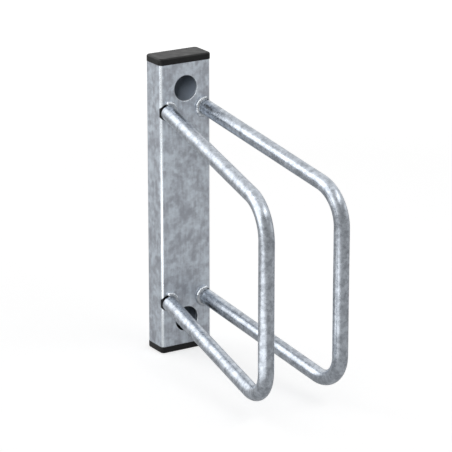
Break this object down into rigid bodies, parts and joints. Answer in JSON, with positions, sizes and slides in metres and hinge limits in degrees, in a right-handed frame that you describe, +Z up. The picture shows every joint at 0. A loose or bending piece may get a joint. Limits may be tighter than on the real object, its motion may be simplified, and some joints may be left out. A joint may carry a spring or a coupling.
{
  "type": "wall-mounted bicycle wheel holder",
  "caption": "Galvanised wall-mounted bicycle wheel holder: a capped rectangular post with bent tube hoops that splay apart to take the front wheel.",
  "frame": {"origin": "on the wall, at the middle of the post's back face, halfway between the wall screws", "axes": "+X along the wall to the right, +Y into the wall, +Z up along the post; the hoops stand out towards -Y"},
  "size_m": [0.103, 0.261, 0.318],
  "materials": {
    "galvanised_post": "hot-dip galvanised, matt spangle",
    "galvanised_tube": "hot-dip galvanised, satin",
    "weld_bead": "rippled weld under zinc",
    "black_plastic": "fine matt moulded grain"
  },
  "bodies": {
    "root": {"post": "galvanised_post", "top_cap": "black_plastic", "bottom_cap": "black_plastic", "left_hoop": "galvanised_tube", "right_hoop": "galvanised_tube", "upper_left_weld": "weld_bead", "upper_right_weld": "weld_bead", "lower_left_weld": "weld_bead", "lower_right_weld": "weld_bead"}
  },
  "joints": []
}
